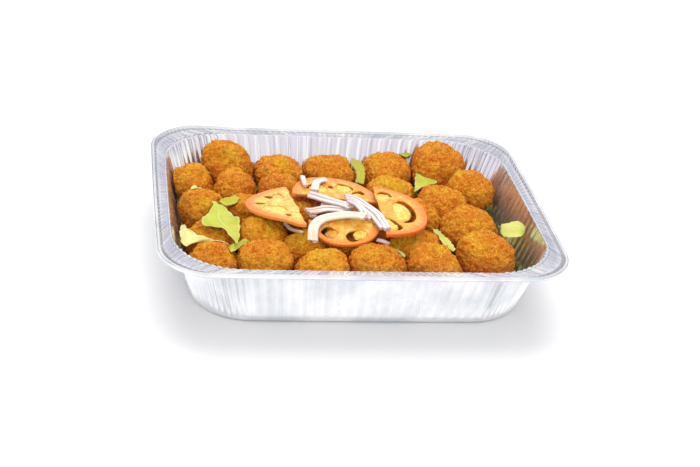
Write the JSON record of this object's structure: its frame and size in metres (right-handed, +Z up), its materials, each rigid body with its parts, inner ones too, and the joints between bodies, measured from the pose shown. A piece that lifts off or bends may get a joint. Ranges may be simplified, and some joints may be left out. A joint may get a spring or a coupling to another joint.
{
  "type": "foil tray meal",
  "caption": "Oblong foil tray filled with round fried chickpea patties on torn lettuce, dressed in the middle with half slices of tomato and strips of red onion.",
  "frame": {"origin": "middle of the underside of the tray's base", "axes": "+X along the tray's long side, +Y across it towards the back long side, +Z up"},
  "size_m": [0.3238, 0.2634, 0.0631],
  "materials": {
    "foil": "bright foil, fluted",
    "crust": "fried chickpea crust, dry and crumbly",
    "lettuce": "lettuce leaf",
    "tomato": "wet cut tomato",
    "onion": "raw red onion"
  },
  "bodies": {
    "root": {"leaf_back_corner": "lettuce", "leaf_back_strip": "lettuce", "leaf_big": "lettuce", "leaf_cap_left": "lettuce", "leaf_chip_back": "lettuce", "leaf_chip_front": "lettuce", "leaf_fold_right": "lettuce", "leaf_rib_left": "lettuce", "leaf_strip_right": "lettuce", "leaf_tip_left": "lettuce", "leaf_tip_second_row": "lettuce", "leaf_wall_right": "lettuce", "lettuce_bed": "lettuce", "onion_big_arc": "onion", "onion_grey_low": "onion", "onion_inner_loop": "onion", "onion_outer_loop": "onion", "onion_pink_end_back": "onion", "onion_pink_left": "onion", "onion_pink_tip": "onion", "onion_thin_left": "onion", "onion_white_across": "onion", "onion_white_arc_back": "onion", "onion_white_down": "onion", "patty_01": "crust", "patty_02": "crust", "patty_03": "crust", "patty_04": "crust", "patty_05": "crust", "patty_06": "crust", "patty_07": "crust", "patty_08": "crust", "patty_09": "crust", "patty_10": "crust", "patty_11": "crust", "patty_12": "crust", "patty_13": "crust", "patty_14": "crust", "patty_15": "crust", "patty_16": "crust", "patty_17": "crust", "patty_18": "crust", "patty_19": "crust", "patty_20": "crust", "patty_21": "crust", "patty_22": "crust", "patty_23": "crust", "patty_24": "crust", "patty_25": "crust", "patty_26": "crust", "patty_27": "crust", "patty_28": "crust", "patty_29": "crust", "patty_30": "crust", "tomato_back": "tomato", "tomato_front": "tomato", "tomato_left": "tomato", "tomato_right": "tomato", "tray": "foil"}
  },
  "joints": []
}
